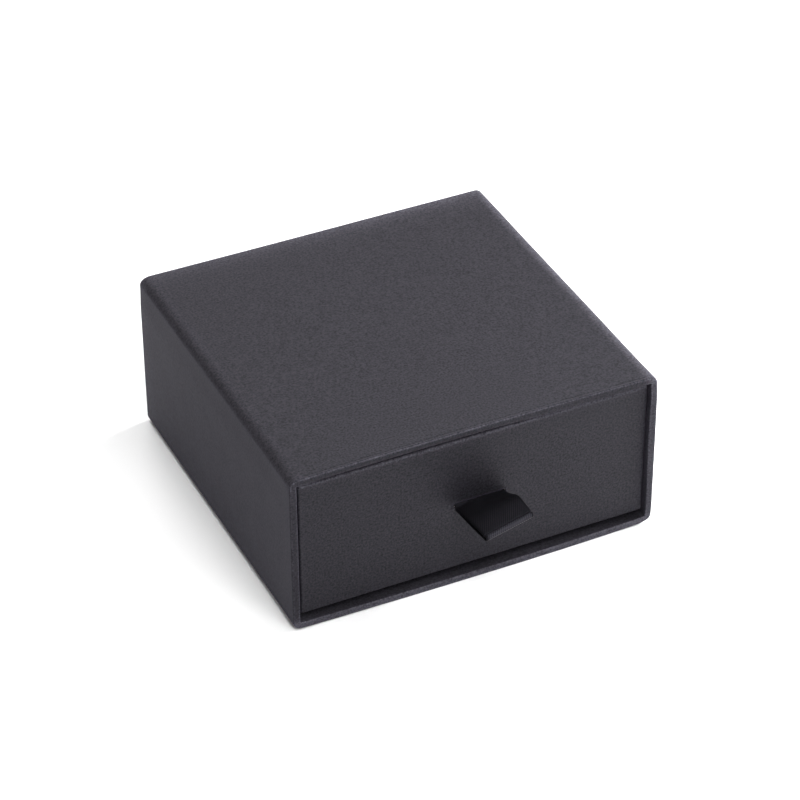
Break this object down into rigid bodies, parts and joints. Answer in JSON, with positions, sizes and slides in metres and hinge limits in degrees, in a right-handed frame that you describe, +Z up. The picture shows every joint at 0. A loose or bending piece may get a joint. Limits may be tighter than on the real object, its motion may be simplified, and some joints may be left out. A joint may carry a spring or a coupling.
{
  "type": "sliding drawer gift box",
  "caption": "Small rigid gift box: a paper-covered board sleeve, closed at the back, with a sliding board drawer that is pulled out by a ribbon loop.",
  "frame": {"origin": "centre of the sleeve's underside", "axes": "+Z up, +Y from the mouth to the closed back, +X to the right of someone facing the drawer's front"},
  "size_m": [0.09, 0.1008, 0.0415],
  "materials": {
    "covering_paper": "matte uncoated, fine grain",
    "lining_paper": "matte uncoated, smooth",
    "greyboard": "matte",
    "ribbon": "ribbed weave, slight sheen"
  },
  "bodies": {
    "sleeve": {"sleeve_top_board": "greyboard", "sleeve_bottom_board": "greyboard", "sleeve_left_board": "greyboard", "sleeve_right_board": "greyboard", "sleeve_back_board": "greyboard", "sleeve_wrap_paper": "covering_paper", "sleeve_back_paper": "covering_paper", "sleeve_wall_lining": "lining_paper", "sleeve_end_lining": "lining_paper"},
    "drawer": {"drawer_base_board": "greyboard", "drawer_front_board": "greyboard", "drawer_back_board": "greyboard", "drawer_left_board": "greyboard", "drawer_right_board": "greyboard", "drawer_wrap_paper": "covering_paper", "drawer_base_paper": "covering_paper", "drawer_floor_paper": "lining_paper", "ribbon_tails": "ribbon", "ribbon_patch": "covering_paper"},
    "pull_loop": {"pull_ribbon": "ribbon"}
  },
  "joints": [
    {"name": "drawer_slide", "type": "slide", "parent": "sleeve", "child": "drawer", "axis": [0, -1, 0], "range_m": [0, 0.08]},
    {"name": "pull_loop_swing", "type": "hinge", "parent": "drawer", "child": "pull_loop", "pos_m": [0.0016, -0.04265, 0.02085], "axis": [-1, 0, 0], "range_deg": [-60, 60], "stiffness_Nm_per_rad": 0.0002}
  ]
}
